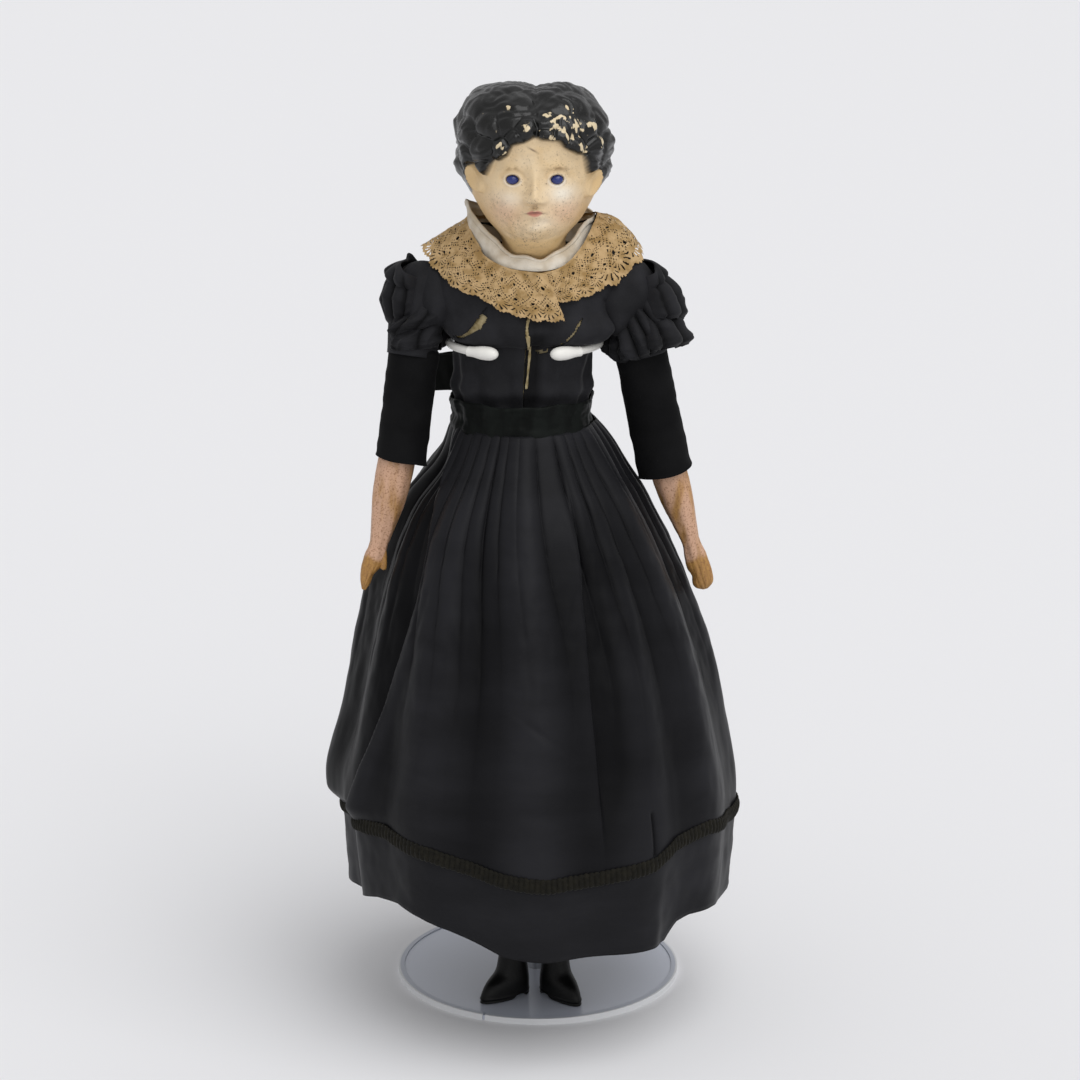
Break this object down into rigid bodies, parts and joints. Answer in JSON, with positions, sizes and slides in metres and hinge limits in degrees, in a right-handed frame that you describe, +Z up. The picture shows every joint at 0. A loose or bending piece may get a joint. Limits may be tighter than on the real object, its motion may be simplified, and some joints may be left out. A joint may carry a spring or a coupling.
{
  "type": "bust doll",
  "caption": "Antique shoulder-head doll with moulded black hair, carved wooden hands, a black silk dress and a lace collar, held by a wire clip on a round adjustable stand.",
  "frame": {"origin": "centre of the round base's underside, under the upright", "axes": "+Z up along the upright, -Y towards the doll's front, +X towards the doll's left"},
  "size_m": [0.2113, 0.2196, 0.4795],
  "materials": {
    "base_plate": "gloss",
    "white_plastic": "gloss",
    "steel": "satin",
    "coated_wire": "gloss",
    "vinyl": "satin",
    "muslin": "matte",
    "papier_mache": "satin",
    "eye_glass": "gloss",
    "linen_thread": "matte",
    "carved_wood": "satin",
    "painted_wood": "gloss",
    "black_wool": "matte",
    "white_cotton": "matte",
    "lace": "matte",
    "ribbon": "satin",
    "black_silk": "satin",
    "braid": "matte"
  },
  "bodies": {
    "stand": {"stand_base": "base_plate", "base_edge_trim": "white_plastic", "base_screw": "steel", "post_socket": "steel", "stand_tube": "steel", "lock_collar": "steel"},
    "lock_screw": {"thumb_screw": "steel"},
    "post": {"stand_rod": "steel", "rod_cap": "white_plastic"},
    "doll": {"clip_bracket": "white_plastic", "clip_wire": "coated_wire", "clip_tip_right": "vinyl", "clip_tip_left": "vinyl", "torso": "muslin", "head_shell": "papier_mache", "eye_right": "eye_glass", "eye_left": "eye_glass", "shoulder_stitch_right": "linen_thread", "shoulder_stitch_left": "linen_thread", "hip_seam_right": "linen_thread", "hip_seam_left": "linen_thread", "bodice_front_right": "black_wool", "bodice_front_left": "black_wool", "bodice_back": "black_wool", "neck_band": "white_cotton", "lace_collar": "lace", "waistband": "ribbon", "sash_bow": "ribbon", "skirt": "black_silk", "hem_band": "black_silk", "hem_braid": "braid"},
    "arm_right": {"upper_arm_right": "muslin", "arm_binding_right": "linen_thread", "forearm_right": "carved_wood", "sleeve_right": "black_wool", "sleeve_puff_right": "black_wool"},
    "arm_left": {"upper_arm_left": "muslin", "arm_binding_left": "linen_thread", "forearm_left": "carved_wood", "sleeve_left": "black_wool", "sleeve_puff_left": "black_wool"},
    "leg_right": {"thigh_right": "muslin", "leg_binding_right": "linen_thread", "shin_right": "painted_wood"},
    "leg_left": {"thigh_left": "muslin", "leg_binding_left": "linen_thread", "shin_left": "painted_wood"}
  },
  "joints": [
    {"name": "post_height", "type": "slide", "parent": "stand", "child": "post", "axis": [0, 0, 1], "range_m": [0, 0.07]},
    {"name": "doll_swivel", "type": "hinge", "parent": "post", "child": "doll", "pos_m": [0, 0, 0.35], "axis": [0, 0, 1], "continuous": true},
    {"name": "lock_turn", "type": "hinge", "parent": "stand", "child": "lock_screw", "pos_m": [0, 0.01, 0.1805], "axis": [0, 1, 0], "continuous": true},
    {"name": "shoulder_right", "type": "hinge", "parent": "doll", "child": "arm_right", "pos_m": [-0.057, -0.038, 0.376], "axis": [-0.9903, 0, 0.1392], "range_deg": [-4, 90]},
    {"name": "shoulder_left", "type": "hinge", "parent": "doll", "child": "arm_left", "pos_m": [0.045, -0.038, 0.376], "axis": [-0.9816, 0, -0.1908], "range_deg": [-25, 98]},
    {"name": "hip_right", "type": "hinge", "parent": "doll", "child": "leg_right", "pos_m": [-0.013, -0.041, 0.27], "axis": [-1, 0, 0], "range_deg": [-2, 20]},
    {"name": "hip_left", "type": "hinge", "parent": "doll", "child": "leg_left", "pos_m": [0.009, -0.041, 0.27], "axis": [-1, 0, 0], "range_deg": [-2, 20]}
  ]
}
